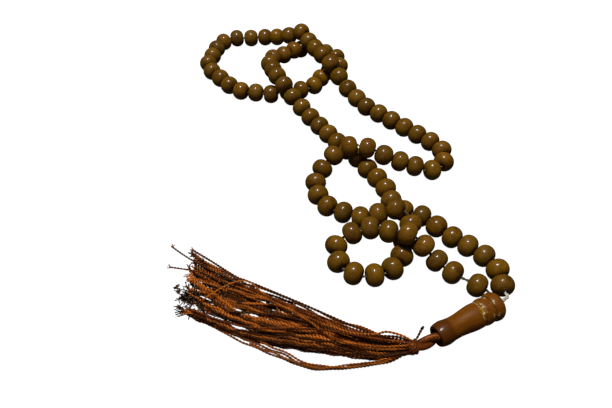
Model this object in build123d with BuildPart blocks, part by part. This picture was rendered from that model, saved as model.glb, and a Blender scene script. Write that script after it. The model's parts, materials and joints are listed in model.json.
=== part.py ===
from build123d import *
import math
import os

import numpy as np

# Prayer beads laid loosely on a flat surface: a closed strand of 99 turned wooden beads on a white cord,
# a turned head bead where the two ends of the cord meet, and a tassel of twisted cords tied to its foot.
# Millimetres. z = 0 is the surface, +Y runs from the tassel to the far loops and +X is to the right.
# The origin is the middle of the outline, on the surface.

# ---- driving dimensions ---------------------------------------------------------------------------
bead_count = 99
bead_diameter = 8.0
bead_length = 6.0  # the shortest beads; others are longer where their neighbours leave room
longest_bead = 6.8
bead_hole_diameter = 2.4
bead_flat_diameter = 2.8  # the flat ring around each end of the hole
cord_diameter = 0.9

bead_pitch = 6.8  # usual distance between bead centres, cord slack included
bead_gap = 0.12  # least space between neighbours on the cord
crossing_gap = 0.22  # least space between beads of two strands that cross
cord_slack = 1.2  # how far apart two neighbours may drift beyond the pitch
sharpest_bend = 52.0  # degrees between one pair of beads and the next

# Where the strand lies: bead number, x, y and the height of its centre. Beads 1 and 99 are next to the
# head bead. The beads between two named ones find their own places when the strand settles.
course = [
    (1, 55, -62.5, 4),
    (2, 54.5, -55.5, 4),
    (3, 51.5, -50.5, 4),
    (4, 47.1, -46.1, 4),
    (5, 42, -42, 4),
    (7, 32, -31, 4),
    (8, 25.8, -28.8, 4),
    (9, 22.1, -23.5, 4),
    (10, 20.7, -17.3, 4),
    (11, 18, -11.7, 4),
    (12, 14.5, -6.2, 4),
    (15, 3.2, 9.8, 4),
    (17, -3.8, 20.5, 4),
    (19, -11.5, 31.5, 5.5),
    (21, -19, 40.5, 10.5),
    (23, -24.3, 52.5, 10.5),
    (24, -26, 58.5, 9.5),
    (25, -25, 64.5, 8.5),
    (27, -15, 74, 7),
    (28, -11.5, 80, 4.5),
    (30, -0.5, 76.5, 4),
    (32, 6.5, 65.5, 4),
    (34, -3, 55, 4),
    (35, -5.8, 49.2, 4),
    (36, -11.5, 46, 4),
    (38, -25, 42.5, 4),
    (40, -38.5, 45, 4),
    (41, -44, 49.5, 4),
    (43, -53, 60.5, 4),
    (44, -55.5, 67, 4),
    (46, -52.5, 80, 4),
    (47, -50, 86, 4),
    (48, -43.5, 89.5, 4),
    (50, -29.5, 89.5, 4.5),
    (53, -11.5, 81.5, 10.5),
    (57, 1.5, 56.5, 11),
    (59, 9, 45.5, 5),
    (61, 16.5, 33.5, 4),
    (64, 31.5, 19.5, 4),
    (66, 41.5, 10, 4),
    (67, 45, 5, 4),
    (68, 44.8, -2, 4),
    (69, 40, -7, 4),
    (71, 27, -4.5, 6.5),
    (73, 14, -2, 11),
    (74, 7.5, -0.7, 11.2),
    (75, 1, -3, 8.5),
    (76, -3.5, -8, 5.5),
    (77, -6, -14, 4),
    (78, -5, -20.7, 4),
    (79, -1.5, -26.5, 4),
    (81, 10.5, -32, 4),
    (82, 17, -32.5, 6),
    (83, 22.5, -34, 9),
    (84, 26.5, -37.5, 6.5),
    (85, 24.5, -44, 4),
    (86, 23.5, -49.5, 4),
    (87, 20, -55.5, 4),
    (88, 13, -58.8, 4),
    (89, 6, -57.5, 4),
    (90, 2, -53, 4),
    (91, 0.5, -46, 4),
    (92, 6.5, -42, 6.5),
    (93, 12.5, -42, 9.5),
    (95, 25, -46.5, 11),
    (97, 35, -52.5, 4),
    (98, 39.5, -57.5, 4),
    (99, 46.3, -62.5, 4),
]

# Lines across both runs of the strand where it folds when one end is lifted. Each names the bead before
# the gap on the right-hand run and the one before the gap on the left-hand run.
near_folds = [(3, 95), (2, 96), (1, 97)]
far_folds = [(16, 64), (17, 63), (18, 62), (19, 61)]
fold_gap = 0.35  # least space between the two beads at a fold
end_bead_gap = 2.8  # bare cord between beads 98 and 99, along which bead 99 slides

bend_start = 0.6  # how far inside the end of a hole the cord starts to bend
fold_half_gap = 0.1  # from a cord's end to the line it folds about

# The head bead, turned in one piece. Lengths run from its top, where the cord comes in, to its foot.
head_top = (52.2, -70.6, 4.84)
head_along = (-0.8772, -0.4782, -0.0424)  # from the top to the foot
head_length = 24.6
head_bore_radius = 1.6
head_socket_radius = 2.6
head_socket_depth = 5.0
cord_offset_in_head = 0.6  # the two cords pass one above the other

# Where the strand's ends go on their way from beads 1 and 99 into the head bead.
first_end_way = [(55.4, -67.6, 4.9), (54.5, -69.1, 5.4)]
last_end_way = [(52.3, -66.5, 3.2), (54.9, -67.9, 2.9), (55, -69.2, 3.3)]

stopper_radius = 2.1
stopper_length = 2.3
foot_ball_radius = 1.9  # where the neck starts, inside the foot of the head bead
neck_radius = 1.3
neck_ball_radius = 1.55

# The thread wound round the neck, and its end sticking up.
binding_mouth = (24.4, -85.4, 3.2)
binding_along = (-0.9806, -0.1961, 0)
binding_bore_radius = 1.9
thread_diameter = 0.7
thread_turns = 5
thread_end = [(22.7, -84.2, 4.3), (23.6, -82.9, 5.3), (26, -80.6, 5.6)]

# The tassel: middle of its top view, its width and its height, from the binding to the tips.
tassel_stem_radius = 1.8
tassel_clearance = 0.4  # from the surface to the underside of the cords
tassel = [
    (17.6, -86.3, 6.4, 5.2),
    (7, -83.6, 9.4, 5.7),
    (-11.5, -78.2, 20, 6.2),
    (-27.5, -72, 23, 5.6),
    (-42.5, -63.5, 25, 4.4),
    (-49.5, -59.6, 23, 3.2),
]
loose_lock = [(18.6, -89.9), (7, -90.6), (-3.5, -91.4), (-12, -90.7), (-19, -88.9)]
loose_lock_radius = 0.85

settling_turns = 300
final_turns = 40
sweeps = 12
pin_pull = 0.3  # share of the way a named bead goes back to its place each turn
cord_stiffness = 0.03
sinking = 0.02  # how far every bead sinks each turn


# ---- how the beads lie ----------------------------------------------------------------------------
def half_length_along(tilt):
    """How far a bead reaches from its centre in a direction tilted by this many radians from its hole."""
    flat_radius = bead_flat_diameter / 2
    crown = bead_diameter / 2 - flat_radius
    return flat_radius * np.sin(tilt) + np.hypot(bead_length / 2 * np.cos(tilt), crown * np.sin(tilt))


def bends(places):
    """The bend of the strand at each bead, in radians, with none at the two ends."""
    steps = np.diff(places, axis=0)
    steps /= np.linalg.norm(steps, axis=1)[:, None]
    cosines = np.clip(np.sum(steps[1:] * steps[:-1], axis=1), -1, 1)
    return np.concatenate([[0], np.arccos(cosines), [0]])


def space(places, first, second, least, most):
    """Move the two beads of each pair along their own line until they are far enough apart, or near enough."""
    between = places[second] - places[first]
    apart = np.linalg.norm(between, axis=1)
    change = np.clip(apart, least, most) - apart
    push = (change / apart / 2)[:, None] * between
    np.add.at(places, first, -push)
    np.add.at(places, second, push)


def least_gaps():
    """The least space after every bead but the last."""
    gaps = np.full(bead_count - 1, bead_gap)
    for pair in near_folds + far_folds:
        gaps[[bead - 1 for bead in pair]] = fold_gap
    gaps[-1] = end_bead_gap
    return gaps


def settle(places, named, homes):
    """Let the strand lie: no bead in another or below the surface, no kink and no stretched cord."""
    number = np.arange(bead_count)
    gaps = least_gaps()
    one, other = np.triu_indices(bead_count, 2)
    clear = bead_diameter + crossing_gap
    unkinked = 2 * bead_pitch * math.cos(math.radians(sharpest_bend / 2))
    for turn in range(settling_turns + final_turns):
        if turn < settling_turns:
            places[named] += pin_pull * (homes - places[named])
            places[1:-1] += cord_stiffness * (places[:-2] - 2 * places[1:-1] + places[2:])
            places[:, 2] -= sinking
        for _ in range(sweeps):
            reach = half_length_along(bends(places) / 2)
            least = reach[:-1] + reach[1:] + gaps
            most = np.maximum(least, bead_pitch) + cord_slack
            for parity in (0, 1):
                pick = number[parity:-1:2]
                space(places, pick, pick + 1, least[pick], most[pick])
            space(places, number[:-2], number[2:], unkinked, np.inf)
            apart = np.linalg.norm(places[one] - places[other], axis=1)
            close = apart < clear
            space(places, one[close], other[close], clear, np.inf)
            places[:, 2] = np.maximum(places[:, 2], bead_diameter / 2)
    return places


def lie_strand():
    """The centre of every bead, in order."""
    course_table = np.array(course, float)
    named = course_table[:, 0].astype(int) - 1
    homes = course_table[:, 1:]
    number = np.arange(bead_count)
    start = np.column_stack([np.interp(number, named, homes[:, axis]) for axis in range(3)])
    return settle(start, named, homes)


def unit(vector):
    return np.array(vector, float) / np.linalg.norm(vector)


def along_holes():
    """The direction of every bead's hole: halfway between the directions to its two neighbours."""
    steps = np.array([unit(step) for step in np.diff(bead_centres, axis=0)])
    steps = np.vstack([steps[:1], steps, steps[-1:]])
    return np.array([unit(before + after) for before, after in zip(steps[:-1], steps[1:])])


def half_lengths():
    """Half the length of every bead. Turned by hand, each fills the room between its neighbours."""
    reach = half_length_along(bends(bead_centres) / 2)
    apart = np.linalg.norm(np.diff(bead_centres, axis=0), axis=1)
    spare = (apart - reach[:-1] - reach[1:] - least_gaps()) / 2
    spare = np.concatenate([spare[:1], spare, [longest_bead]])
    room = np.minimum(spare[:-1], spare[1:])
    return bead_length / 2 + np.clip(room, 0, (longest_bead - bead_length) / 2)


def mouth(number, side):
    """Middle of an end of a bead's hole: side is -1 at the end towards the bead before, 1 at the other."""
    return bead_centres[number - 1] + side * bead_halves[number - 1] * bead_axes[number - 1]


def fold_end(before, side):
    """Where a cord ends, and its direction, on the near side (-1) or far side (1) of the fold after a bead."""
    start = mouth(before, 1)
    finish = mouth(before + 1, -1)
    direction = unit(finish - start)
    return (start + finish) / 2 + side * fold_half_gap * direction, direction


def through_beads(first, last):
    """The way of the cord through some neighbouring beads: points and directions in their holes."""
    return [
        (mouth(number, side) - side * bend_start * bead_axes[number - 1], bead_axes[number - 1])
        for number in range(first, last + 1)
        for side in (-1, 1)
    ]


def in_head(length, rise=0.0):
    """A point inside the head bead, by its length from the top and its height above the axis."""
    return np.array(head_top) + length * unit(head_along) + rise * np.array([0, 0, 1])


# ---- shapes ---------------------------------------------------------------------------------------
def turn_bead(number):
    """One bead in its place: a flattened ball with a flat ring at each end of its hole."""
    along = bead_axes[number - 1]
    outward = unit(np.cross(along, (0, 0, 1)))
    section = Plane(
        origin=tuple(bead_centres[number - 1]),
        x_dir=tuple(outward),
        z_dir=tuple(np.cross(outward, along)),
    )
    hole = bead_hole_diameter / 2
    flat = bead_flat_diameter / 2
    half = bead_halves[number - 1]
    with BuildPart() as turned:
        with BuildSketch(section):
            with BuildLine():
                Polyline((flat, half), (hole, half), (hole, -half), (flat, -half))
                EllipticalCenterArc((flat, 0), bead_diameter / 2 - flat, half, -90, arc_size=180)
            make_face()
        revolve(axis=Axis(section.origin, tuple(along)))
    return turned.part


def run_cord(stations):
    """A round cord that goes straight through each hole and bends between the holes."""
    with BuildPart() as cord:
        with BuildLine() as way:
            for (start, leaving), (finish, arriving) in zip(stations[:-1], stations[1:]):
                if np.array_equal(leaving, arriving):
                    Line(tuple(start), tuple(finish))
                else:
                    Spline(tuple(start), tuple(finish), tangents=(tuple(leaving), tuple(arriving)))
        with BuildSketch(Plane(origin=way.line @ 0, z_dir=way.line % 0)):
            Circle(cord_diameter / 2)
        sweep()
    return cord.part


def turn_head():
    """The head bead: a domed top, a ring between two grooves, a waisted body and a flared foot."""
    bore = head_bore_radius
    socket = head_socket_radius
    socket_floor = head_length - head_socket_depth
    along = unit(head_along)
    outward = unit(np.cross(along, (0, 0, 1)))
    section = Plane(origin=head_top, x_dir=tuple(outward), z_dir=tuple(np.cross(outward, along)))
    with BuildPart() as head:
        with BuildSketch(section):
            with BuildLine():
                Line((bore, 0), (1.9, 0))
                ThreePointArc((1.9, 0), (4.05, 0.85), (4.75, 2.3))
                ThreePointArc((4.75, 2.3), (4.7, 3.3), (4.45, 4.2))
                ThreePointArc((4.45, 4.2), (3.95, 4.7), (4.3, 5.2))
                ThreePointArc((4.3, 5.2), (4.5, 6.6), (4.2, 8))
                ThreePointArc((4.2, 8), (3.85, 8.4), (4.2, 8.8))
                Spline((4.2, 8.8), (4.22, 11.1), (3.6, 16.7), (3.6, 18.7), (3.9, 21))
                ThreePointArc((3.9, 21), (3.9, 22.9), (3.45, head_length))
                Polyline(
                    (3.45, head_length),
                    (socket, head_length),
                    (socket, socket_floor),
                    (bore, socket_floor),
                    (bore, 0),
                )
            make_face()
        revolve(axis=Axis(section.origin, tuple(along)))
    return head.part


def tie_stopper():
    """The knot that keeps the cord's ends in the head bead: two round turns side by side."""
    along = unit(head_along)
    outward = unit(np.cross(along, (0, 0, 1)))
    start = in_head(head_length - head_socket_depth + 0.1)
    section = Plane(origin=tuple(start), x_dir=tuple(outward), z_dir=tuple(np.cross(outward, along)))
    half = stopper_length / 2
    with BuildPart() as stopper:
        with BuildSketch(section):
            with BuildLine():
                Line((0, 0), (stopper_radius - half / 2, 0))
                for turn in range(2):
                    ThreePointArc(
                        (stopper_radius - half / 2, turn * half),
                        (stopper_radius, (turn + 0.5) * half),
                        (stopper_radius - half / 2, (turn + 1) * half),
                    )
                Polyline((stopper_radius - half / 2, 2 * half), (0, 2 * half), (0, 0))
            make_face()
        revolve(axis=Axis(section.origin, tuple(along)))
    return stopper.part


def lay_neck():
    """The cords between the head bead's foot and the binding, with a ball at each end to turn on."""
    foot = in_head(head_length - 0.5)
    along = np.array(binding_mouth) - foot
    length = np.linalg.norm(along)
    outward = unit(np.cross(along, (0, 0, 1)))
    section = Plane(origin=tuple(foot), x_dir=tuple(outward), z_dir=tuple(np.cross(outward, unit(along))))
    first = math.sqrt(foot_ball_radius**2 - neck_radius**2)
    last = length - math.sqrt(neck_ball_radius**2 - neck_radius**2)
    with BuildPart() as neck:
        with BuildSketch(section):
            with BuildLine():
                ThreePointArc((0, -foot_ball_radius), (foot_ball_radius, 0), (neck_radius, first))
                Line((neck_radius, first), (neck_radius, last))
                ThreePointArc((neck_radius, last), (neck_ball_radius, length), (0, length + neck_ball_radius))
                Line((0, length + neck_ball_radius), (0, -foot_ball_radius))
            make_face()
        revolve(axis=Axis(section.origin, tuple(along)))
    return neck.part


def wind_binding():
    """Turns of thread round the top of the tassel, with the thread's loose end."""
    along = unit(binding_along)
    outward = unit(np.cross(along, (0, 0, 1)))
    section = Plane(origin=binding_mouth, x_dir=tuple(outward), z_dir=tuple(np.cross(outward, along)))
    bore = binding_bore_radius
    core = bore + 0.25
    crest = core + thread_diameter / 2
    length = thread_turns * thread_diameter
    with BuildPart() as binding:
        with BuildSketch(section):
            with BuildLine():
                for turn in range(thread_turns):
                    ThreePointArc(
                        (core, turn * thread_diameter),
                        (crest, (turn + 0.5) * thread_diameter),
                        (core, (turn + 1) * thread_diameter),
                    )
                Polyline((core, length), (bore, length), (bore, 0), (core, 0))
            make_face()
        revolve(axis=Axis(section.origin, tuple(along)))
        with BuildLine() as way:
            Spline(*thread_end)
        with BuildSketch(Plane(origin=way.line @ 0, z_dir=way.line % 0)):
            Circle(thread_diameter / 2)
        sweep()
    return binding.part


def lay_tassel():
    """The tassel's cords as one soft body, lying on the surface and spreading towards the tips."""
    along = unit(binding_along)
    mouth_point = np.array(binding_mouth)
    stem = [mouth_point + reach * along for reach in (neck_ball_radius + 0.15, 3.6)]
    middles = [np.array((x, y, height / 2 + tassel_clearance)) for x, y, width, height in tassel]
    path = [stem[1]] + middles
    with BuildPart() as fan:
        for point in stem:
            with BuildSketch(Plane(origin=tuple(point), z_dir=tuple(along))):
                Circle(tassel_stem_radius)
        loft()
        with BuildSketch(Plane(origin=tuple(stem[1]), x_dir=(-along[1], along[0], 0), z_dir=tuple(along))):
            Ellipse(tassel_stem_radius, tassel_stem_radius)
        for index, (x, y, width, height) in enumerate(tassel):
            after = path[min(index + 2, len(path) - 1)]
            ahead = unit((after - path[index]) * (1, 1, 0))
            section = Plane(origin=tuple(middles[index]), x_dir=(-ahead[1], ahead[0], 0), z_dir=tuple(ahead))
            with BuildSketch(section):
                Ellipse(width / 2, height / 2)
        loft()
    return fan.part


def lay_lock():
    """The lock that has come away from the tassel and lies beside it."""
    with BuildPart() as lock:
        with BuildLine() as way:
            Spline(*[(x, y, loose_lock_radius + 0.1) for x, y in loose_lock])
        with BuildSketch(Plane(origin=way.line @ 0, z_dir=way.line % 0)):
            Circle(loose_lock_radius)
        sweep()
    return lock.part


def export(part, name):
    part.label = name
    export_step(part, f"parts/{name}.step")


os.makedirs("parts", exist_ok=True)
bead_centres = lie_strand()
bead_axes = along_holes()
bead_halves = half_lengths()

# ---- beads: those near the folds and the head on their own, the others in groups -------------------
for number in [*range(1, 21), *range(61, 66), *range(88, 100)]:
    export(turn_bead(number), f"bead_{number:02d}")

for first, last in [(21, 30), (31, 40), (41, 50), (51, 60), (66, 75), (76, 87)]:
    with BuildPart() as beads:
        add([turn_bead(number) for number in range(first, last + 1)])
    export(beads.part, f"beads_{first}_to_{last}")

# ---- cord: one piece between folds on each run of the strand ---------------------------------------
def cord_between(fold_before, first, last, fold_after):
    """The cord through some beads, from one fold to the next."""
    return run_cord([fold_end(fold_before, 1), *through_beads(first, last), fold_end(fold_after, -1)])


export(cord_between(3, 4, 16, 16), "cord_right_run")
export(cord_between(64, 65, 95, 95), "cord_left_run")
export(cord_between(19, 20, 61, 61), "cord_far_loops")

for step, (right, left) in enumerate(far_folds[:-1], start=1):
    with BuildPart() as pair:
        add([cord_between(right, right + 1, right + 1, right + 1), cord_between(left - 1, left, left, left)])
    export(pair.part, f"cord_far_{step}")

for step, (right, left) in enumerate(near_folds[:-1], start=1):
    with BuildPart() as pair:
        add([cord_between(right - 1, right, right, right), cord_between(left, left + 1, left + 1, left + 1)])
    export(pair.part, f"cord_near_{step}")

def cord_into_head(strand, way, rise):
    """An end of the cord, from its last bead round into the head bead and down to the knot."""
    start, leaving = strand[-1]
    bore_mouth = in_head(0.3, rise)
    with BuildPart() as end:
        add(run_cord(strand))
        with BuildLine() as bend:
            Spline(tuple(start), *way, tuple(bore_mouth), tangents=(tuple(leaving), head_along))
            Line(tuple(bore_mouth), tuple(in_head(head_length - head_socket_depth - 0.1, rise)))
        with BuildSketch(Plane(origin=bend.line @ 0, z_dir=bend.line % 0)):
            Circle(cord_diameter / 2)
        sweep()
    return end.part


last_strand = [fold_end(97, 1), *through_beads(98, 99)]
first_strand = [(point, -along) for point, along in reversed([*through_beads(1, 1), fold_end(1, -1)])]
with BuildPart() as cord_head_end:
    add(cord_into_head(first_strand, first_end_way, cord_offset_in_head))
    add(cord_into_head(last_strand, last_end_way, -cord_offset_in_head))
export(cord_head_end.part, "cord_head_end")

# ---- head bead and tassel --------------------------------------------------------------------------
export(turn_head(), "head_bead")
export(tie_stopper(), "stopper_knot")
export(lay_neck(), "neck_cords")
export(wind_binding(), "neck_binding")
export(lay_tassel(), "tassel_cords")
export(lay_lock(), "tassel_loose_lock")
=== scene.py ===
import json
import math

import bpy
import numpy as np
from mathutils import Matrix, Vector


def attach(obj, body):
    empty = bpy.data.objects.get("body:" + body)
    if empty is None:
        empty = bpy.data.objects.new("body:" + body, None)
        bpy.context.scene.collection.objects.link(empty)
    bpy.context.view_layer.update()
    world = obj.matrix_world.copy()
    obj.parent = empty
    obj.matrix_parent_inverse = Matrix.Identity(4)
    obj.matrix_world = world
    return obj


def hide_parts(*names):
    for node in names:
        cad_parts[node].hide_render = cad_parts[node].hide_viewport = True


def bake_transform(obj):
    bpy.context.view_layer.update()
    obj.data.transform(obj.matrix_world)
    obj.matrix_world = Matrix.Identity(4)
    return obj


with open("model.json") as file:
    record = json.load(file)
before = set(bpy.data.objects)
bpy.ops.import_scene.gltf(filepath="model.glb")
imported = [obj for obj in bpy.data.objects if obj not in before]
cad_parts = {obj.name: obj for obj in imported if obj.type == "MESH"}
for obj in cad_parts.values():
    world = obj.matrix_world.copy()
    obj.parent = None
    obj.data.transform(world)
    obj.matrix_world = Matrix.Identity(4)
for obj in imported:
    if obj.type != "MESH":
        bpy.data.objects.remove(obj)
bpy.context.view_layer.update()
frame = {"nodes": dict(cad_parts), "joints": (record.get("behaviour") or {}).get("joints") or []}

# Prayer beads laid on a pale surface. The turned beads and the head bead are the CAD's. The cord, the neck,
# the binding and the tassel are made here from twisted plies. Lengths in this script are in millimetres and
# are turned into metres when a mesh is made.

MM = 0.001
BEAD_COUNT = 99
BEAD_HALF_LENGTH = 3.0  # where a fold's cord begins and ends to bend
STRAIGHT_IN_HOLE = 2.7  # each way from a bead's middle
BETWEEN_BEADS = 1.6  # how strongly the cord keeps its way as it leaves a hole
PLIES = 2  # every cord is two plies
SHADED_STRAND_TINT = 2.2  # a tint above 2 takes a yarn's colour for its ends; the cord from the last bead gets it as painted shade
CORD_SPACING = 0.2
rng = np.random.default_rng(7)


# ---- small tools -------------------------------------------------------------------------------------
def unit(v):
    v = np.asarray(v, float)
    return v / np.linalg.norm(v)


def joint(name):
    return next(j for j in frame["joints"] if j["name"] == name)


def curve_through(points, tangents=None, spacing=0.25):
    """Evenly spaced points on a smooth curve through some points."""
    p = np.asarray(points, float)
    if tangents is None:
        t = np.gradient(p, axis=0)
        t[0] = p[1] - p[0]
        t[-1] = p[-1] - p[-2]
    else:
        t = np.asarray(tangents, float)
    fine = []
    for k in range(len(p) - 1):
        u = np.linspace(0, 1, 24, endpoint=False)[:, None]
        a = 2 * u**3 - 3 * u**2 + 1
        b = u**3 - 2 * u**2 + u
        c = -2 * u**3 + 3 * u**2
        d = u**3 - u**2
        fine.append(a * p[k] + b * t[k] + c * p[k + 1] + d * t[k + 1])
    fine = np.vstack(fine + [p[-1:]])
    return respace(fine, spacing)


def respace(line, spacing):
    reach = np.concatenate([[0], np.cumsum(np.linalg.norm(np.diff(line, axis=0), axis=1))])
    count = max(3, int(round(reach[-1] / spacing)) + 1)
    at = np.linspace(0, reach[-1], count)
    return np.column_stack([np.interp(at, reach, line[:, k]) for k in range(3)])


def frames_along(line):
    """Tangent and two directions across a line that turn as little as possible."""
    t = np.gradient(line, axis=0)
    t /= np.linalg.norm(t, axis=1)[:, None]
    n = np.empty_like(t)
    start = np.cross(t[0], (0, 0, 1))
    if np.linalg.norm(start) < 1e-3:
        start = np.cross(t[0], (1, 0, 0))
    n[0] = unit(start)
    for k in range(1, len(t)):
        v = n[k - 1] - np.dot(n[k - 1], t[k]) * t[k]
        n[k] = v / np.linalg.norm(v)
    return t, n, np.cross(t, n)


class Tubes:
    """Collects round tubes into one mesh, with each point's way along and around, its tint and its crest.

    The crest is a point's distance from the middle of its cord, from 0 to 1.
    """

    def __init__(self):
        self.verts, self.faces, self.along, self.around, self.tint, self.crest = [], [], [], [], [], []
        self.count = 0

    def tube(self, line, radius, sides=6, tint=0.5, core=None, whole=None):
        line = np.asarray(line, float)
        radius = np.broadcast_to(np.asarray(radius, float), (len(line),))
        _, n, b = frames_along(line)
        angle = np.linspace(0, 2 * math.pi, sides, endpoint=False)
        ring = np.cos(angle)[None, :, None] * n[:, None, :] + np.sin(angle)[None, :, None] * b[:, None, :]
        points = line[:, None, :] + ring * radius[:, None, None]
        reach = np.concatenate([[0], np.cumsum(np.linalg.norm(np.diff(line, axis=0), axis=1))])
        rows, m = len(line), sides
        base = self.count
        index = base + np.arange(rows * m).reshape(rows, m)
        right = np.roll(index, -1, axis=1)
        quads = np.stack([index[:-1], right[:-1], right[1:], index[1:]], axis=-1).reshape(-1, 4)
        self.verts.append(points.reshape(-1, 3))
        self.along.append(np.repeat(reach, m))
        self.around.append(np.tile(angle / (2 * math.pi), rows))
        self.tint.append(np.full(rows * m, tint) if np.isscalar(tint) else np.repeat(np.asarray(tint), m))
        away = np.ones((rows, m)) if core is None else np.linalg.norm(
            points - core[:, None, :], axis=2
        ) / whole[:, None]
        self.crest.append(away.ravel())
        self.faces.extend(quads.tolist())
        self.faces.append(index[0][::-1].tolist())
        self.faces.append(index[-1].tolist())
        self.count += rows * m

    def cord(self, line, radius, plies=2, pitch=3.0, phase=0.0, sides=6, tint=0.5, fill=0.54):
        """A cord of plies laid round each other. radius is the whole cord's."""
        line = np.asarray(line, float)
        radius = np.broadcast_to(np.asarray(radius, float), (len(line),))
        _, n, b = frames_along(line)
        reach = np.concatenate([[0], np.cumsum(np.linalg.norm(np.diff(line, axis=0), axis=1))])
        ply = radius * fill
        out = radius - ply
        for k in range(plies):
            a = phase + 2 * math.pi * reach / pitch + 2 * math.pi * k / plies
            way = line + (out * np.cos(a))[:, None] * n + (out * np.sin(a))[:, None] * b
            self.tube(way, ply, sides, tint, line, radius)

    def make(self, name, material):
        mesh = bpy.data.meshes.new(name)
        verts = np.vstack(self.verts) * MM
        mesh.from_pydata(verts.tolist(), [], self.faces)
        for key, values in (
                ("along", self.along), ("around", self.around), ("tint", self.tint), ("crest", self.crest)
        ):
            attribute = mesh.attributes.new(key, "FLOAT", "POINT")
            attribute.data.foreach_set("value", np.concatenate(values).astype(np.float32))
        mesh.polygons.foreach_set("use_smooth", np.full(len(mesh.polygons), True))
        mesh.validate()
        mesh.update()
        mesh.materials.append(material)
        obj = bpy.data.objects.new(name, mesh)
        bpy.context.scene.collection.objects.link(obj)
        return obj


# ---- materials ---------------------------------------------------------------------------------------
class Nodes:
    """A short way to write a node tree."""

    def __init__(self, name):
        self.material = bpy.data.materials.new(name)
        self.material.use_nodes = True
        self.tree = self.material.node_tree
        self.tree.nodes.clear()

    def add(self, kind, settings=None, **inputs):
        node = self.tree.nodes.new(kind)
        for key, value in (settings or {}).items():
            setattr(node, key, value)
        for key, value in inputs.items():
            socket = node.inputs[int(key[1:])] if key[0] == "i" and key[1:].isdigit() else node.inputs[
                key.replace("_", " ")
            ]
            if isinstance(value, bpy.types.NodeSocket):
                self.tree.links.new(value, socket)
            else:
                socket.default_value = value
        return node

    def math(self, operation, a, b=0.0, clamp=False):
        return self.add("ShaderNodeMath", {"operation": operation, "use_clamp": clamp}, i0=a, i1=b).outputs[0]

    def noise(self, vector, scale, detail=3.0, roughness=0.5, distortion=0.0):
        return self.add(
            "ShaderNodeTexNoise", None, Vector=vector, Scale=scale, Detail=detail, Roughness=roughness,
            Distortion=distortion
        ).outputs["Fac"]

    def ramp(self, fac, stops):
        node = self.add("ShaderNodeValToRGB", None, Fac=fac)
        ramp = node.color_ramp
        while len(ramp.elements) < len(stops):
            ramp.elements.new(0.5)
        for element, (position, colour) in zip(ramp.elements, stops):
            element.position = position
            element.color = (*colour, 1)
        return node.outputs["Color"]

    def range(self, value, low, high, to_low=0.0, to_high=1.0):
        return self.add(
            "ShaderNodeMapRange", None, Value=value, From_Min=low, From_Max=high, To_Min=to_low,
            To_Max=to_high
        ).outputs[0]

    def mix(self, fac, a, b, blend="MIX"):
        node = self.add("ShaderNodeMix", {"data_type": "RGBA", "blend_type": blend})
        for index, value in ((0, fac), (6, a), (7, b)):
            if isinstance(value, bpy.types.NodeSocket):
                self.tree.links.new(value, node.inputs[index])
            else:
                node.inputs[index].default_value = value if index == 0 else (*value, 1)
        return node.outputs[2]

    def bump(self, height, strength, distance, normal=None):
        node = self.add("ShaderNodeBump", None, Height=height, Strength=strength, Distance=distance)
        if normal is not None:
            self.tree.links.new(normal, node.inputs["Normal"])
        return node.outputs["Normal"]

    def finish(self, **inputs):
        shader = self.add("ShaderNodeBsdfPrincipled", None, **inputs)
        output = self.add("ShaderNodeOutputMaterial")
        self.tree.links.new(shader.outputs[0], output.inputs["Surface"])
        return self.material


def srgb(r, g, b):
    """Linear colour of an sRGB colour given from 0 to 255."""
    def one(v):
        v /= 255
        return v / 12.92 if v <= 0.04045 else ((v + 0.055) / 1.055) ** 2.4
    return (one(r), one(g), one(b))


def in_millimetres(n):
    where = n.add("ShaderNodeTexCoord").outputs["Object"]
    return n.add("ShaderNodeVectorMath", {"operation": "SCALE"}, i0=where, Scale=1000.0).outputs[0]


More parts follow.
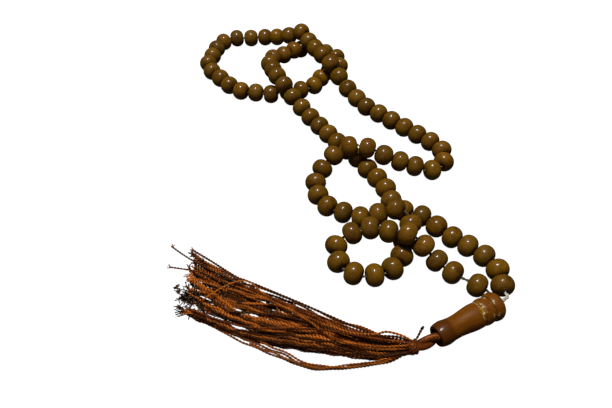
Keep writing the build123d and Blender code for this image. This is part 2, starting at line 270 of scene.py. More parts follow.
def bead_wood():
    """Varnished turned wood. Every bead has its own tone, and its grain its own direction."""
    n = Nodes("bead_varnished_wood")
    place = in_millimetres(n)
    island = n.add("ShaderNodeNewGeometry").outputs["Random Per Island"]
    thing = n.add("ShaderNodeObjectInfo").outputs["Random"]
    pair = n.add("ShaderNodeCombineXYZ", None, X=island, Y=thing).outputs[0]
    chance = n.add("ShaderNodeTexWhiteNoise", {"noise_dimensions": "3D"}, Vector=pair)
    own = chance.outputs["Value"]
    own_colour = chance.outputs["Color"]
    split = n.add("ShaderNodeSeparateColor", None, Color=own_colour)
    turned = n.add("ShaderNodeVectorRotate", {"rotation_type": "EULER_XYZ"}, Vector=place, Rotation=n.add(
        "ShaderNodeVectorMath", {"operation": "SCALE"}, i0=own_colour, Scale=6.283).outputs[0]).outputs[0]
    shifted = n.add(
        "ShaderNodeVectorMath", {"operation": "MULTIPLY_ADD"}, i0=own_colour, i1=(37.0, 53.0, 71.0), i2=turned
    ).outputs[0]
    stretched = n.add(
        "ShaderNodeVectorMath", {"operation": "MULTIPLY"}, i0=shifted, i1=(0.22, 1.0, 1.0)
    ).outputs[0]
    broad = n.noise(shifted, 0.16, 2.0, 0.5)
    grain = n.noise(stretched, 0.9, 6.0, 0.62, 0.6)
    fine = n.noise(stretched, 4.5, 3.0, 0.6)
    specks = n.noise(shifted, 1.7, 2.0, 0.5)
    tone = n.math("ADD", n.math("MULTIPLY", grain, 0.55), n.math("MULTIPLY", broad, 0.45))
    wood = n.ramp(
        tone,
        [
            (0.28, srgb(66, 39, 2)), (0.44, srgb(110, 74, 3)), (0.58, srgb(130, 91, 6)),
            (0.72, srgb(146, 107, 16))
        ]
    )
    wood = n.mix(n.range(fine, 0.35, 0.7, 0.0, 0.25), wood, srgb(70, 46, 10))
    red = n.math(
        "MULTIPLY", n.range(specks, 0.58, 0.70), n.range(split.outputs[0], 0.0, 1.0, 0.1, 0.6), clamp=True
    )
    wood = n.mix(red, wood, srgb(116, 54, 14))
    tinted = n.add(
        "ShaderNodeHueSaturation", None, Hue=n.range(split.outputs[1], 0.0, 1.0, 0.496, 0.503),
        Saturation=n.range(split.outputs[2], 0.0, 1.0, 0.985, 1.01), Value=n.range(own, 0.0, 1.0, 0.62, 0.97),
        Color=wood
    ).outputs[0]
    rough = n.range(grain, 0.3, 0.7, 0.38, 0.50)
    dents = n.noise(shifted, 0.45, 2.0, 0.5)
    normal = n.bump(fine, 0.10, 0.00008, n.bump(dents, 0.35, 0.00025))
    return n.finish(
        Base_Color=tinted, Roughness=rough, Normal=normal, Coat_Weight=0.42, Coat_Roughness=0.12,
        Coat_IOR=1.45, Specular_IOR_Level=0.12
    )


def head_wood():
    """The head bead: amber stain, cream filler left in the grooves, and a darker foot."""
    spin = joint("head_spin")
    top = np.array(spin["pos_m"], float)
    along = unit(spin["axis"])
    n = Nodes("head_varnished_wood")
    where = n.add("ShaderNodeTexCoord").outputs["Object"]
    from_top = n.add("ShaderNodeVectorMath", {"operation": "SUBTRACT"}, i0=where, i1=tuple(top)).outputs[0]
    s = n.math(
        "MULTIPLY",
        n.add(
            "ShaderNodeVectorMath", {"operation": "DOT_PRODUCT"}, i0=from_top, i1=tuple(along)
        ).outputs["Value"],
        1000.0
    )
    place = n.add("ShaderNodeVectorMath", {"operation": "SCALE"}, i0=from_top, Scale=1000.0).outputs[0]
    yaw = math.atan2(along[1], along[0])
    straight = n.add(
        "ShaderNodeVectorRotate", {"rotation_type": "Z_AXIS"}, Vector=place, Angle=-yaw
    ).outputs[0]
    stretched = n.add(
        "ShaderNodeVectorMath", {"operation": "MULTIPLY"}, i0=straight, i1=(0.16, 1.0, 1.0)
    ).outputs[0]
    broad = n.noise(straight, 0.15, 2.0)
    grain = n.noise(stretched, 0.8, 5.0, 0.6, 0.4)
    fine = n.noise(stretched, 4.0, 3.0)
    tone = n.math("ADD", n.math("MULTIPLY", grain, 0.5), n.math("MULTIPLY", broad, 0.5))
    wood = n.ramp(
        tone,
        [
            (0.30, srgb(76, 38, 1)), (0.45, srgb(108, 60, 1)), (0.58, srgb(120, 69, 2)),
            (0.74, srgb(132, 81, 8))
        ]
    )
    wood = n.mix(n.range(fine, 0.4, 0.7, 0.0, 0.25), wood, srgb(80, 38, 8))
    foot = n.math(
        "ADD", n.range(s, 18.8, 20.8), n.math("MULTIPLY", n.math("SUBTRACT", broad, 0.5), 0.8), clamp=True
    )
    wood = n.mix(n.math("MULTIPLY", foot, 0.75), wood, srgb(72, 32, 1))
    worn = n.noise(straight, 0.55, 4.0, 0.65)
    filler = None
    for middle, reach in ((4.75, 1.35), (8.5, 1.25)):
        away = n.math(
            "ABSOLUTE",
            n.math(
                "SUBTRACT", n.math("ADD", s, n.math("MULTIPLY", n.math("SUBTRACT", grain, 0.5), 1.6)), middle
            )
        )
        band = n.math("MULTIPLY", n.range(away, 0.0, reach, 1.0, 0.0), n.range(worn, 0.48, 0.60), clamp=True)
        filler = band if filler is None else n.math("MAXIMUM", filler, band)
    wood = n.mix(n.math("MULTIPLY", filler, 0.8), wood, srgb(172, 138, 52))
    # Pale spots on the cream filler are painted highlights in the grooves.
    painted_groove_highlights = n.math("MULTIPLY", filler, n.range(n.noise(straight, 1.1, 2.0), 0.56, 0.66), clamp=True)
    wood = n.mix(painted_groove_highlights, wood, srgb(228, 214, 168))
    dents = n.noise(straight, 0.3, 3.0)
    normal = n.bump(fine, 0.12, 0.0001, n.bump(dents, 0.5, 0.0004))
    rough = n.math("ADD", n.range(grain, 0.3, 0.7, 0.42, 0.54), n.math("MULTIPLY", filler, 0.3))
    coat = n.math("ADD", n.range(filler, 0.0, 1.0, 0.14, 0.03), n.math("MULTIPLY", foot, 0.12))
    return n.finish(
        Base_Color=wood, Roughness=rough, Normal=normal, Coat_Weight=coat, Coat_Roughness=0.16,
        Specular_IOR_Level=0.12
    )


def yarn(
        name, dark, middle, light, rough=0.5, sheen=0.3, ends=None, own=0.2, painted_low_shade=None, shine=(1, 1, 1),
        ply_valley_shade=0.5
):
    """Twisted fibre: filaments wind along each ply, and every cord has its own tone. The valleys between plies
    are darkened as painted shade, and lower cords can be too.
    """
    n = Nodes(name)
    along = n.add("ShaderNodeAttribute", {"attribute_name": "along"}).outputs["Fac"]
    around = n.add("ShaderNodeAttribute", {"attribute_name": "around"}).outputs["Fac"]
    tint = n.add("ShaderNodeAttribute", {"attribute_name": "tint"}).outputs["Fac"]
    place = in_millimetres(n)
    turn = n.math("MULTIPLY", around, 2 * math.pi)
    x = n.math("COSINE", turn)
    y = n.math("SINE", turn)
    strand = n.add("ShaderNodeCombineXYZ", None, X=x, Y=y, Z=n.math("MULTIPLY", along, 0.35)).outputs[0]
    strand = n.add(
        "ShaderNodeVectorRotate", {"rotation_type": "Z_AXIS"}, Vector=strand,
        Angle=n.math("MULTIPLY", along, 2.2)
    ).outputs[0]
    strand = n.add(
        "ShaderNodeVectorMath", {"operation": "MULTIPLY_ADD"},
        i0=n.add("ShaderNodeCombineXYZ", None, X=tint, Y=tint, Z=tint).outputs[0], i1=(40.0, 60.0, 80.0),
        i2=strand
    ).outputs[0]
    filament = n.noise(strand, 3.2, 4.0, 0.6)
    patch = n.noise(place, 0.22, 3.0)
    tone = n.math(
        "ADD", n.math("MULTIPLY", filament, 0.7 - own),
        n.math("ADD", n.math("MULTIPLY", patch, 0.3), n.math("MULTIPLY", tint, own))
    )
    colour = n.ramp(tone, [(0.36, dark), (0.48, middle), (0.60, light)])
    # Painted shade: the lower a cord lies, the more its colour is mixed towards a dark colour, for the shade
    # under the cords above it.
    if painted_low_shade is not None:
        height = n.add("ShaderNodeSeparateXYZ", None, Vector=place).outputs["Z"]
        colour = n.mix(n.range(height, painted_low_shade[0], painted_low_shade[1], 0.8, 0.0), colour, painted_low_shade[2])
    if ends is not None:
        colour = n.mix(n.range(tint, 1.5, 2.0), colour, ends)
    # Painted shade: the colour darkens towards the dark colour where a ply's surface lies near the middle of its
    # cord, in the valleys between plies.
    crest = n.add("ShaderNodeAttribute", {"attribute_name": "crest"}).outputs["Fac"]
    colour = n.mix(
        n.range(crest, 0.45, 1.0, ply_valley_shade, 0.0), colour, dark, "MULTIPLY" if ply_valley_shade > 0.9 else "MIX"
    )
    normal = n.bump(filament, 0.6, 0.00012)
    return n.finish(
        Base_Color=colour, Roughness=rough, Normal=normal, Sheen_Weight=sheen, Sheen_Roughness=0.4,
        Specular_IOR_Level=0.6, Specular_Tint=(*shine, 1)
    )


WOOD = bead_wood()
HEAD = head_wood()
# The cord's colours are darker than its real off-white: painted shade, for the cord seen in the dim gaps between
# beads.
CORD = yarn("cord_cotton_painted_shade", srgb(62, 52, 32), srgb(92, 80, 54), srgb(122, 110, 84), 0.8, 0.15)
# The dark brown colour for the ends is painted shade on the cord from the last bead.
CORD_CLEAN = yarn(
    "cord_white_cotton", srgb(140, 136, 122), srgb(184, 180, 166), srgb(212, 210, 198), 0.75, 0.2,
    ends=srgb(66, 54, 30)
)
# The tassel's lower cords are painted darker as painted shade, and the valleys between its plies get a strong
# painted shade.
TASSEL = yarn(
    "tassel_copper_rayon", srgb(44, 15, 1), srgb(98, 39, 6), srgb(218, 118, 36), 0.34, 0.0,
    ends=srgb(12, 10, 9), own=0.34, painted_low_shade=(0.3, 2.6, srgb(36, 12, 1)), shine=(1, 0.54, 0.24), ply_valley_shade=0.9
)
NECK = yarn(
    "neck_copper_rayon", srgb(54, 20, 2), srgb(98, 41, 7), srgb(150, 76, 24), 0.4, 0.0, shine=(1, 0.54, 0.24)
)
THREAD = yarn(
    "binding_thread", srgb(54, 19, 2), srgb(98, 40, 7), srgb(150, 74, 24), 0.42, 0.0, ends=srgb(12, 7, 5),
    shine=(1, 0.54, 0.24)
)

for name, node in frame["nodes"].items():
    if name.startswith("bead"):
        node.data.materials.clear()
        node.data.materials.append(WOOD)
    elif name == "head_bead":
        node.data.materials.clear()
        node.data.materials.append(HEAD)


# ---- where the beads are, read from the frame --------------------------------------------------------
def solids_of(node):
    """Centre and hole direction of every separate bead in a CAD node."""
    mesh = node.data
    co = np.empty(len(mesh.vertices) * 3)
    mesh.vertices.foreach_get("co", co)
    co = co.reshape(-1, 3) / MM
    _, same = np.unique(np.round(co, 3), axis=0, return_inverse=True)
    same = same.ravel()
    mesh.calc_loop_triangles()
    tri = np.empty(len(mesh.loop_triangles) * 3, int)
    mesh.loop_triangles.foreach_get("vertices", tri)
    tri = tri.reshape(-1, 3)
    label = np.arange(same.max() + 1)
    corners = same[tri]
    while True:
        low = label[corners].min(axis=1)
        before = label.copy()
        for k in range(3):
            np.minimum.at(label, corners[:, k], low)
        label = label[label]
        if np.array_equal(label, before):
            break
    found = []
    middle = co[tri].mean(axis=1)
    area = np.linalg.norm(np.cross(co[tri[:, 1]] - co[tri[:, 0]], co[tri[:, 2]] - co[tri[:, 0]]), axis=1)
    owner = label[corners[:, 0]]
    for one in np.unique(owner):
        pick = owner == one
        weight = area[pick][:, None]
        centre = (middle[pick] * weight).sum(axis=0) / weight.sum()
        away = middle[pick] - centre
        _, vectors = np.linalg.eigh((away * weight).T @ away)
        found.append((centre, vectors[:, 0]))
    return found


def find_beads():
    centre = np.full((BEAD_COUNT + 1, 3), np.nan)
    axis = np.full((BEAD_COUNT + 1, 3), np.nan)
    groups = {}
    for name, node in frame["nodes"].items():
        if name.startswith("bead_"):
            k = int(name[5:])
            centre[k], axis[k] = solids_of(node)[0]
        elif name.startswith("beads_"):
            groups[int(name.split("_")[1])] = solids_of(node)
    for k in range(2, BEAD_COUNT + 1):
        if k in groups:
            pool = groups[k]
            for number in range(k, k + len(pool)):
                before = centre[number - 1]
                ahead = unit(before - centre[number - 2])
                def far(bead):
                    step = bead[0] - before
                    return np.linalg.norm(step) - 1.5 * np.dot(unit(step), ahead)
                best = min(range(len(pool)), key=lambda i: far(pool[i]))
                centre[number], axis[number] = pool.pop(best)
    for k in range(1, BEAD_COUNT + 1):
        ahead = centre[min(k + 1, BEAD_COUNT)] - centre[max(k - 1, 1)]
        if np.dot(axis[k], ahead) < 0:
            axis[k] = -axis[k]
    return centre, axis


bead_centre, bead_axis = find_beads()


def mouth(number, side):
    return bead_centre[number] + side * BEAD_HALF_LENGTH * bead_axis[number]


def cord_line(first, last):
    """The way of the cord from the middle of one bead to the middle of another."""
    points, ways = [bead_centre[first]], [bead_axis[first] * STRAIGHT_IN_HOLE]
    for k in range(first, last + 1):
        if k > first:
            points.append(bead_centre[k] - STRAIGHT_IN_HOLE * bead_axis[k])
            ways.append(bead_axis[k] * BETWEEN_BEADS)
        if k < last:
            points.append(bead_centre[k] + STRAIGHT_IN_HOLE * bead_axis[k])
            ways.append(bead_axis[k] * BETWEEN_BEADS)
    points.append(bead_centre[last])
    ways.append(bead_axis[last] * STRAIGHT_IN_HOLE)
    return curve_through(points, ways, CORD_SPACING)


# ---- the cord ------------------------------------------------------------------------------------------
CORD_RADIUS = 0.5
CORD_PITCH = 3.4
CORD_SIDES = 8
SIDE_BY_SIDE = 0.62  # each end of the cord lies this far above or below the head bead's axis
NEAR_FOLDS = [
    ("strand_middle", "near_strand_1", 3, 95), ("near_strand_1", "near_strand_2", 2, 96),
    ("near_strand_2", "head_end", 1, 97)
]
FAR_FOLDS = [
    ("strand_middle", "far_strand_1", 16, 64), ("far_strand_1", "far_strand_2", 17, 63),
    ("far_strand_2", "far_strand_3", 18, 62), ("far_strand_3", "far_loops", 19, 61)
]


def lay_cord(name, line, body, nodes):
    tubes = Tubes()
    tubes.cord(line, CORD_RADIUS, PLIES, CORD_PITCH, sides=CORD_SIDES)
    obj = tubes.make(name, CORD)
    if body:
        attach(obj, body)
    if nodes:
        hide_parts(*nodes)
    return obj


lay_cord("twisted_cord_right_run", cord_line(4, 16), "strand_middle", ["cord_right_run"])
lay_cord("twisted_cord_left_run", cord_line(65, 95), "strand_middle", ["cord_left_run"])
lay_cord("twisted_cord_far_loops", cord_line(20, 61), "far_loops", ["cord_far_loops"])
for folds, stem in ((NEAR_FOLDS, "near"), (FAR_FOLDS, "far")):
    for index, (inner, outer, right, left) in enumerate(folds):
        for side, k in (("right", right), ("left", left)):
            nodes = [f"cord_{stem}_{index + 1}"] if side == "right" and index + 1 < len(folds) else []
            obj = lay_cord(f"twisted_cord_{stem}_fold_{index + 1}_{side}", cord_line(k, k + 1), None, nodes)
            lower_is_inner = (side == "left") == (stem == "near")
            a, b = (inner, outer) if lower_is_inner else (outer, inner)
            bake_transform(obj)

HEAD_TOP = np.array(joint("head_spin")["pos_m"]) / MM
HEAD_ALONG = unit(joint("head_spin")["axis"])
HEAD_LENGTH = 24.6


def in_head(length, rise=0.0):
    return HEAD_TOP + length * HEAD_ALONG + rise * np.array([0, 0, 1])


def into_head(strand, way, rise):
    points = [strand[-1], *way, in_head(0.3, rise), in_head(4, rise), in_head(18.6, rise)]
    points = [np.array(p, float) for p in points]
    return np.vstack([strand[:-1], curve_through(points, spacing=0.2)])


first_strand = np.array([bead_centre[1], bead_centre[1] - 1.5 * bead_axis[1], mouth(1, -1)])
first_way = [(55.4, -67.6, 4.9), (54.5, -69.1, 5.4)]
last_strand = np.vstack([cord_line(98, 99), [bead_centre[99] + 1.5 * bead_axis[99]], [mouth(99, 1)]])
last_way = [(51.6, -66.6, 3.2), (53.6, -68.2, 3.0), (53.8, -69.4, 3.6)]
ends_cord = Tubes()
ends_cord.cord(
    respace(into_head(first_strand, first_way, SIDE_BY_SIDE), CORD_SPACING), 0.62, PLIES, 4.2,
    sides=CORD_SIDES, tint=0.6, fill=0.6
)
# The cord from the last bead is darkened all along as painted shade.
ends_cord.cord(
    respace(into_head(last_strand, last_way, -SIDE_BY_SIDE), CORD_SPACING), CORD_RADIUS, PLIES, CORD_PITCH,
    sides=CORD_SIDES, tint=SHADED_STRAND_TINT
)
ends_obj = ends_cord.make("twisted_cord_head_end", CORD_CLEAN)
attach(ends_obj, "head_end")
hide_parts("cord_head_end")

# The stopper knot: two plies tied round themselves inside the foot of the head bead.
KNOT_MIDDLE = in_head(21.0)
KNOT_CORD = 0.55
knot = Tubes()
across = unit(np.cross(HEAD_ALONG, (0, 0, 1)))
upward = np.cross(across, HEAD_ALONG)
turn = np.linspace(0, 2 * math.pi, 60, endpoint=False)
loop = [
    KNOT_MIDDLE + (1.25 + 0.35 * math.cos(3 * a)) * (
        math.cos(2 * a) * across + math.sin(2 * a) * upward
    ) + 0.8 * math.sin(3 * a) * HEAD_ALONG for a in turn
]
knot.cord(respace(np.array(loop + loop[:1]), CORD_SPACING), KNOT_CORD, PLIES, 3.0, sides=CORD_SIDES)
knot_obj = knot.make("stopper_knot_tied", CORD_CLEAN)
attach(knot_obj, "head_end")
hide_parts("stopper_knot")

# ---- the neck and its binding --------------------------------------------------------------------------
BINDING_MOUTH = np.array([24.4, -85.4, 3.2])
BINDING_ALONG = unit([-0.9806, -0.1961, 0])
BINDING_TURNS = 4.6
NECK_PITCH = 15.0
FOOT = in_head(HEAD_LENGTH - 0.5)
neck = Tubes()
neck_line = curve_through(
    [in_head(23.4), FOOT, (27.6, -84.2, 3.6), BINDING_MOUTH, BINDING_MOUTH + 2.6 * BINDING_ALONG], spacing=0.2
)
reach = np.linspace(0, 1, len(neck_line))
swell = 2.14 + 0.22 * np.clip(
    1 - 2.5 * reach, 0, 1
) - 0.10 * np.sin(reach * math.pi) + 0.08 * np.sin(reach * 9)
neck.cord(neck_line, swell, PLIES, NECK_PITCH, phase=0.5, sides=18, tint=0.5)
neck_obj = neck.make("neck_twisted", NECK)
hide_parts("neck_cords")
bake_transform(neck_obj)

binding = Tubes()
side_way = unit(np.cross(BINDING_ALONG, (0, 0, 1)))
up_way = np.cross(side_way, BINDING_ALONG)
steps = np.linspace(0, BINDING_TURNS, 220)
coil = []
for t in steps:
    radius = 1.95 + 0.12 * math.sin(5.1 * t) + 0.1 * math.sin(2.3 * t + 1)
    a = 2 * math.pi * t
    coil.append(
        BINDING_MOUTH + (0.3 + 0.6 * t) * BINDING_ALONG + radius * (
            math.cos(a) * side_way + math.sin(a) * up_way
        )
    )
binding.cord(respace(np.array(coil), 0.18), 0.42, 2, 1.9, sides=8, tint=0.4)
stub = curve_through(
    [(22.9, -84.8, 4.5), (24.0, -84.2, 5.4), (24.7, -83.4, 6.3), (25.4, -82.4, 7.2), (26.2, -81.4, 7.9)],
    spacing=0.18
)
dark_end = np.where(np.linspace(0, 1, len(stub)) > 0.74, 2.2, 0.35)
binding.cord(stub, 0.40 + 0.14 * np.linspace(0, 1, len(stub)) ** 3, 2, 2.0, sides=7, tint=dark_end)
binding_obj = binding.make("binding_wound_thread", THREAD)
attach(binding_obj, "tassel")
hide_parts("neck_binding")

# ---- the tassel ----------------------------------------------------------------------------------------
STATIONS = 64
TASSEL_CORDS = 66
CLUMPS = 14
TASSEL_PIECES = 3  # the tassel's cords are shared among three meshes; so that no mesh is too large to be exported whole
BLACK_END = 2.2  # a tint above 2 is a dark frayed end
FAR_EDGE = [
    (22.2, -84.2), (15.5, -83.0), (7.3, -81.0), (-2, -75.8), (-11.4, -71.2), (-28, -62.4), (-42.5, -52.0),
    (-49.0, -46.8)
]
NEAR_EDGE = [
    (21.6, -87.4), (14.4, -88.9), (8, -88.5), (0, -87.2), (-6, -86.4), (-11.3, -85.5), (-26.7, -82.2),
    (-41.5, -75.8), (-49.5, -71.4)
]
# Where the cords part and show what lies under them: x, y, half length and half width.
PARTINGS = [(-35.1, -74.4, 4.2, 1.0), (-23.7, -72.1, 4.6, 1.1), (-44.3, -69, 3.6, 1.1), (-43.2, -56.4, 3.6, 1.0),
            (-29.4, -77.4, 4.2, 1.1), (-38.5, -65.0, 3.2, 0.9), (-47.0, -60.5, 3.4, 1.0),
            (-17.1, -67.6, 3.0, 1.0), (-14.1, -70.9, 3.2, 1.0), (-8.0, -72.2, 3.4, 1.0), (-5.0, -75.3, 3.0, 0.9)]


def edge(points):
    return respace(np.pad(curve_through([(*p, 0) for p in points], spacing=0.3), 0), 0.1)[:, :2]


def sample(line, count):
    at = np.linspace(0, len(line) - 1, count)
    return np.column_stack([np.interp(at, np.arange(len(line)), line[:, k]) for k in range(2)])


def lay_tassel_cords():
    """Lets the cords settle: each station along the tassel is a pile of discs that push each other apart."""
    far, near = sample(edge(FAR_EDGE), STATIONS), sample(edge(NEAR_EDGE), STATIONS)
    width = np.linalg.norm(far - near, axis=1)
    u = np.linspace(0, 1, STATIONS)
    thick = np.interp(u, [0, 0.12, 0.35, 1], [0.46, 0.62, 0.90, 0.96])
    member = rng.permutation(np.arange(TASSEL_CORDS) % CLUMPS)
    middle = (np.arange(CLUMPS) + 0.5) / CLUMPS
    share = middle[member] + rng.uniform(-0.5, 0.5, TASSEL_CORDS) / CLUMPS
    layer = rng.uniform(0, 1, TASSEL_CORDS)
    wander = rng.normal(0, 1, (TASSEL_CORDS, 6))
    shared = rng.normal(0, 1, (CLUMPS, 4))
    strays = np.where(rng.uniform(0, 1, TASSEL_CORDS) < 0.42, rng.normal(0, 0.22, TASSEL_CORDS), 0.0)
    side = np.empty((TASSEL_CORDS, STATIONS))
    for c in range(TASSEL_CORDS):
        group = shared[member[c]]
        drift = group[0] * 0.05 * u + group[1] * 0.03 * np.sin(
            math.pi * u * 2 + group[2]
        ) + wander[c, 0] * 0.045 * u + wander[c, 1] * 0.05 * np.sin(math.pi * u)
        drift += 0.022 * wander[c, 2] * np.sin(math.pi * 4 * u + wander[c, 3]) + strays[c] * np.sin(
            math.pi * (u - 0.15) * (0.8 + 0.3 * wander[c, 4])
        )
        side[c] = np.clip(share[c] + drift, 0.0, 1.0)
    side = side * (width - thick)[None, :] + thick / 2
    tall = np.interp(u, [0, 0.12, 0.4, 1], [3.4, 3.6, 2.2, 1.4])
    rise = 0.6 + thick / 2 + layer[:, None] * (tall - thick)[None, :]
    base = np.interp(u, [0, 0.1, 0.2, 1], [1.0, 0.5, 0.0, 0.0])
    partings = []
    for x, y, half_length, half_width in PARTINGS:
        centre = (near + far) / 2
        at = int(
            np.argmin(
                np.hypot(centre[:, 0] - x, centre[:, 1] - y) + 2 * np.abs(
                    ((np.array([x, y]) - near) * np.gradient(centre, axis=0)).sum(axis=1)
                )
            )
        )
        across = np.dot(np.array([x, y]) - near[at], (far - near)[at]) / width[at]
        step = np.linalg.norm(centre[min(at + 1, STATIONS - 1)] - centre[at - 1]) / 2
        away = (np.arange(STATIONS) - at) * step / half_length
        partings.append(
            (
                across + (u - u[at]) * (across / width[at] - 0.5) * 8.0,
                half_width * np.sqrt(np.clip(1 - away**2, 0, None))
            )
        )
    home = side.copy()
    for turn in range(90):
        pull = 0.06 if turn < 60 else 0.0
        side += pull * (home - side)
        rise -= 0.03
        ds = side[:, None, :] - side[None, :, :]
        dz = rise[:, None, :] - rise[None, :, :]
        apart = np.sqrt(ds**2 + dz**2) + 1e-6
        lack = np.clip(thick * 0.93 - apart, 0, None)
        lack[np.arange(TASSEL_CORDS), np.arange(TASSEL_CORDS)] = 0
        side += 0.32 * (lack * ds / apart).sum(axis=1)
        rise += 0.32 * (lack * dz / apart).sum(axis=1)
        for grid in (side, rise):
            grid[:, 1:-1] += 0.25 * (grid[:, :-2] - 2 * grid[:, 1:-1] + grid[:, 2:])
        for across, room in partings:
            aside = side - across[None, :]
            push = np.clip(room + thick / 2 - np.abs(aside), 0, None) * (room > 0)
            side += 0.5 * np.where(aside < 0, -push, push)
        side = np.clip(side, thick / 2, width - thick / 2)
        rise = np.clip(rise, base + thick / 2 + 0.05, base + tall + 1.8)
    cords = []
    for c in range(TASSEL_CORDS):
        f = (side[c] / width)[:, None]
        plan = near + (far - near) * f
        cords.append(np.column_stack([plan, rise[c]]))
    return cords, thick


tassels = [Tubes() for _ in range(TASSEL_PIECES)]
cords, thick = lay_tassel_cords()
ends = []
for c, line in enumerate(cords):
    last = 1.0 - 0.10 * rng.beta(1.2, 2.5)
    keep = max(10, int(round(STATIONS * last)))
    fine = curve_through(line[:keep], spacing=0.3)
    share = np.linspace(0, last, len(fine))
    waves = rng.uniform(0.6, 1.4, 2)
    t, n, b = frames_along(fine)
    kink = 0.16 * np.sin(share * 60 * waves[0] + c) + 0.10 * np.sin(share * 110 * waves[1] + 2 * c)
    fine = fine + (kink * np.clip(share * 4, 0, 1))[:, None] * n
    radius = 0.5 * np.interp(share, np.linspace(0, 1, STATIONS), thick) * rng.uniform(0.84, 1.08)
    fine[:, 2] = np.maximum(fine[:, 2], radius)
    tassels[c % TASSEL_PIECES].cord(
        fine, radius, 2, rng.uniform(2.2, 2.7), rng.uniform(0, 6), 6, tint=rng.uniform(0, 1), fill=0.48
    )
    ends.append((fine[-1], t[-1], radius[-1], c))

# Threads that stray from the others: points, radius and tint.
STRAYS = [
    (
        [
            (23.6, -85.2, 4.2), (12, -82.4, 3.4), (-8, -72.6, 2.6), (-22, -66.4, 3.0), (-30, -62.5, 3.4),
            (-39, -56.5, 2.6), (-46.5, -51.8, 1.8), (-52, -47.5, 1.2), (-57.0, -43.2, 0.9)
        ],
        0.36, 0.35
    ),
    (
        [
            (23.6, -85.0, 4.4), (10, -80.8, 3.8), (-12, -69.0, 3.2), (-28.2, -60.8, 3.2), (-33, -58.2, 2.8),
            (-42, -50.8, 1.8), (-49.4, -45.0, 1.1)
        ],
        0.44, 0.2
    ),
    (
        [
            (23.6, -85.3, 3.8), (8, -81, 3.0), (-14, -70.8, 2.6), (-38, -60, 3.4), (-44, -56.2, 2.6),
            (-49.3, -54.4, 1.6), (-56.3, -52.6, 0.9)
        ],
        0.34, 0.5
    ),
    (
        [
            (23.6, -84.8, 4.2), (8, -80.2, 3.2), (-10, -71.5, 2.6), (-22, -66.5, 3.2), (-28, -61.9, 4.6),
            (-33, -62.2, 4.8), (-39, -65.5, 4.2), (-44.0, -69.0, 3.0)
        ],
        0.28, 0.9
    ),
    (
        [
            (23.6, -84.9, 4.4), (14, -83, 4.0), (9, -79.4, 3.0), (3, -76.2, 1.6), (-4, -73.6, 1.0),
            (-12, -68.2, 1.0), (-22, -65.6, 1.4), (-34, -61, 1.4)
        ],
        0.44, 0.3
    ),
    (
        [
            (23.6, -84.9, 4.2), (16, -83.4, 4.2), (8, -77.8, 2.2), (1, -75.0, 1.0), (-6, -70.6, 0.9),
            (-16, -65.6, 1.0), (-27, -60.9, 1.2), (-36, -59.5, 1.4)
        ],
        0.42, 0.6
    ),
    (
        [
            (23.6, -85.0, 4.0), (12, -82.4, 3.6), (5, -79.2, 2.0), (-2, -74.6, 0.9), (-9, -71.8, 0.8),
            (-16, -66.6, 0.8), (-24, -63.6, 1.2), (-34, -60.4, 1.6)
        ],
        0.42, 0.45
    ),
    (
        [
            (23.4, -84.6, 4.2), (19.8, -82.6, 4.8), (15.2, -81.4, 5.0), (11.0, -82.0, 4.4), (3, -80.5, 3.6),
            (-6, -75.0, 3.0), (-18, -70, 2.6), (-30, -69, 2.6)
        ],
        0.44, 0.75
    ),
    (
        [
            (23.4, -84.8, 4.6), (18, -83.6, 5.6), (12, -83.0, 5.2), (4, -81.8, 4.4), (-8, -77, 3.6),
            (-20, -74, 3.4), (-34, -72.5, 3.0)
        ],
        0.44, 0.1
    ),
    (
        [
            (23.0, -86.0, 4.6), (12, -86.4, 4.6), (0, -83.5, 4.2), (-10, -76.0, 4.4), (-20, -69.8, 4.4),
            (-31, -65.5, 4.0), (-43, -60.5, 2.6), (-49, -57, 1.8)
        ],
        0.44, 0.6
    ),
    (
        [
            (23.0, -85.6, 4.6), (10, -83.4, 4.8), (-4, -80.5, 4.6), (-15, -79.8, 4.4), (-27, -79.0, 3.8),
            (-38, -75.2, 2.8), (-46, -71, 2.0)
        ],
        0.44, 0.35
    ),
    (
        [
            (23.2, -85.2, 4.6), (6, -81.0, 3.6), (-14, -71.0, 3.2), (-26, -63.8, 3.2), (-36, -56.8, 2.8),
            (-44, -51.4, 2.2), (-49.0, -47.6, 1.6)
        ],
        0.46, 0.4
    ),
    (
        [
            (23.0, -85.4, 4.2), (6, -81.6, 3.2), (-14, -72.0, 2.8), (-27, -64.6, 2.6), (-38, -56.4, 2.2),
            (-45, -51.8, 1.4), (-48.2, -49.8, 1.2)
        ],
        0.46, 0.55
    ),
]
for k, (points, radius, tint) in enumerate(STRAYS):
    line = curve_through(points, spacing=0.25)
    tassels[k % TASSEL_PIECES].cord(line, radius, 2, 2.3, 0, 6, tint=tint)
    ends.append((line[-1], unit(line[-1] - line[-3]), radius, 3))


def fray(tubes, tip, ahead, radius, count, length, tint):
    """Fibres that spread from the end of a cord."""
    for _ in range(count):
        way = unit(ahead + rng.normal(0, 0.45, 3) * (1, 1, 0.35))
        bend = rng.normal(0, 0.5, 3) * (1, 1, 0.3)
        reach = length * rng.uniform(0.5, 1.0)
        start = np.array(tip) - 0.6 * ahead + rng.normal(0, radius * 0.35, 3)
        points = [start, start + way * reach * 0.5, start + way * reach + bend]
        for p in points:
            p[2] = max(p[2], 0.2)
        tubes.tube(curve_through(points, spacing=0.3), rng.uniform(0.13, 0.22), 5, tint)


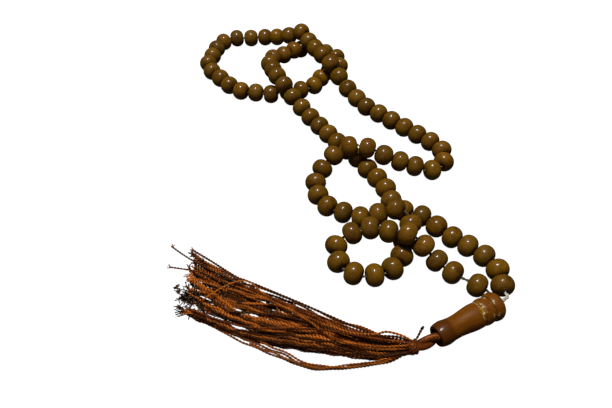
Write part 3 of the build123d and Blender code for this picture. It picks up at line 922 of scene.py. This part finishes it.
for k, (tip, ahead, radius, c) in enumerate(ends):
    black = -72 < tip[1] < -61 and rng.uniform() < 0.75
    fray(
        tassels[k % TASSEL_PIECES], tip, ahead, radius, 4 if black else 3, 3.4 if black else 2.2,
        BLACK_END if black else rng.uniform(0, 0.8)
    )
for spot in (
        (-52.2, -62.5, 1.6), (-50.6, -65.4, 1.4), (-48.4, -67.6, 1.6), (-47.2, -66.2, 2.2),
        (-45.2, -69.0, 2.6), (-43.6, -70.6, 2.2), (-46.4, -67.8, 2.6), (-36.0, -61.5, 3.2)
):
    for _ in range(5):
        way = unit([-0.6, 0.2, 0.05] + rng.normal(0, 0.7, 3) * (1, 1, 0.25))
        fray(tassels[0], np.array(spot) + rng.normal(0, 0.6, 3) * (1, 1, 0.3), way, 0.4, 3, 2.0, BLACK_END)
for k, tubes in enumerate(tassels):
    tassel_obj = tubes.make(f"tassel_twisted_cords_{k + 1}", TASSEL)
    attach(tassel_obj, "tassel")
    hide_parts("tassel_cords")

lock = Tubes()
LOCK_WAYS = [
    [
        (21.0, -86.9, 1.6), (16, -88.7, 1.2), (11.5, -89.8, 0.9), (5.5, -90.7, 0.7), (-3.8, -91.4, 0.6),
        (-11.3, -89.8, 0.9), (-16, -87.2, 1.2), (-22, -84.8, 1.6), (-29, -81.6, 1.8), (-36, -77.2, 1.6)
    ],
    [
        (20.8, -87.1, 1.2), (15.5, -89.3, 0.8), (10.5, -90.4, 0.6), (4, -91.2, 0.6), (-4.5, -91.9, 0.6),
        (-12, -90.3, 0.6), (-17, -87.9, 0.6), (-24, -85.0, 0.9), (-31, -81.6, 1.1), (-39, -76.8, 1.0)
    ],
    [
        (20.9, -86.9, 2.0), (15, -88.9, 1.6), (9, -90.0, 1.4), (3, -90.7, 1.2), (-4, -91.2, 1.3),
        (-10.5, -89.7, 1.5), (-15, -87.0, 1.6), (-22, -83.8, 1.9), (-30, -79.8, 2.2)
    ],
    [
        (20.6, -87.0, 1.4), (14, -89.6, 1.2), (7, -91.0, 1.1), (-1, -91.6, 1.2), (-8, -91.3, 1.1),
        (-14, -88.9, 1.0), (-20, -86.2, 1.1), (-27, -83.0, 1.2)
    ],
]
for k, points in enumerate(LOCK_WAYS):
    line = curve_through(points, spacing=0.25)
    reach = np.linspace(0, 30, len(line))
    line[:, 1] += 0.14 * np.sin(reach * 1.1 + 2 * k)
    line[:, 2] = np.maximum(line[:, 2] + 0.12 * np.sin(reach * 1.7 + k), 0.4)
    lock.cord(line, 0.40, 2, 2.3, k, 6, tint=0.45 + 0.15 * k, fill=0.5)
lock_obj = lock.make("tassel_loose_lock_twisted", TASSEL)
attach(lock_obj, "tassel")
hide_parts("tassel_loose_lock")

# ---- floor, light and camera -----------------------------------------------------------------------------
scene = bpy.context.scene
floor_mesh = bpy.data.meshes.new("floor")
floor_mesh.from_pydata([(-3, -3, 0), (3, -3, 0), (3, 3, 0), (-3, 3, 0)], [], [(0, 1, 2, 3)])
floor = bpy.data.objects.new("floor", floor_mesh)
floor.location.z = -0.0001
scene.collection.objects.link(floor)
n = Nodes("floor_pale")
sees = n.add("ShaderNodeLightPath").outputs["Is Camera Ray"]
dull = n.add("ShaderNodeBsdfDiffuse", None, Color=(0.05, 0.045, 0.04, 1)).outputs[0]
bright = n.add("ShaderNodeBsdfDiffuse", None, Color=(0.16, 0.16, 0.16, 1)).outputs[0]
glow = n.add("ShaderNodeEmission", None, Color=(1, 1, 1, 1), Strength=1.0).outputs[0]
shown = n.add("ShaderNodeAddShader", None, i0=bright, i1=glow).outputs[0]
mixed = n.add("ShaderNodeMixShader", None, i0=sees, i1=dull, i2=shown).outputs[0]
output = n.add("ShaderNodeOutputMaterial")
n.tree.links.new(mixed, output.inputs["Surface"])
floor_mesh.materials.append(n.material)

world = bpy.data.worlds.new("studio")
scene.world = world
world.use_nodes = True
tree = world.node_tree
tree.nodes.clear()
path = tree.nodes.new("ShaderNodeLightPath")
soft = tree.nodes.new("ShaderNodeBackground")
soft.inputs["Color"].default_value = (1, 0.98, 0.95, 1)
soft.inputs["Strength"].default_value = 0.055
back = tree.nodes.new("ShaderNodeBackground")
back.inputs["Color"].default_value = (1, 1, 1, 1)
back.inputs["Strength"].default_value = 1.0
both = tree.nodes.new("ShaderNodeMixShader")
out = tree.nodes.new("ShaderNodeOutputWorld")
tree.links.new(path.outputs["Is Camera Ray"], both.inputs[0])
tree.links.new(soft.outputs[0], both.inputs[1])
tree.links.new(back.outputs[0], both.inputs[2])
tree.links.new(both.outputs[0], out.inputs["Surface"])


def area_light(name, place, aim, size, power, colour=(1, 1, 1)):
    data = bpy.data.lights.new(name, "AREA")
    data.shape = "RECTANGLE"
    data.size, data.size_y = size
    data.energy = power
    data.color = colour
    light = bpy.data.objects.new(name, data)
    light.location = place
    light.rotation_mode = "QUATERNION"
    light.rotation_quaternion = (Vector(aim) - Vector(place)).to_track_quat("-Z", "Y")
    scene.collection.objects.link(light)


area_light("key_overhead", (-0.10, 0.08, 1.0), (0, 0, 0), (0.22, 0.18), 10.5, (1, 0.97, 0.92))
area_light("fill_front", (-0.5, -1.1, 0.7), (0, 0, 0), (1.0, 0.8), 0.8, (1, 0.97, 0.94))

CAMERA_TILT = math.radians(45.437)  # down from the horizon
SENSOR = 36.0
LENS = 38.23529411764706
camera_data = bpy.data.cameras.new("camera")
camera = bpy.data.objects.new("camera", camera_data)
camera.location = (-0.0095, -0.1935, 0.174733)
camera.rotation_euler = (math.pi / 2 - CAMERA_TILT, 0, 0)
camera_data.sensor_width = SENSOR
camera_data.lens = LENS
camera_data.clip_start = 0.01
camera_data.clip_end = 20
scene.collection.objects.link(camera)
scene.camera = camera
scene.view_settings.view_transform = "Standard"
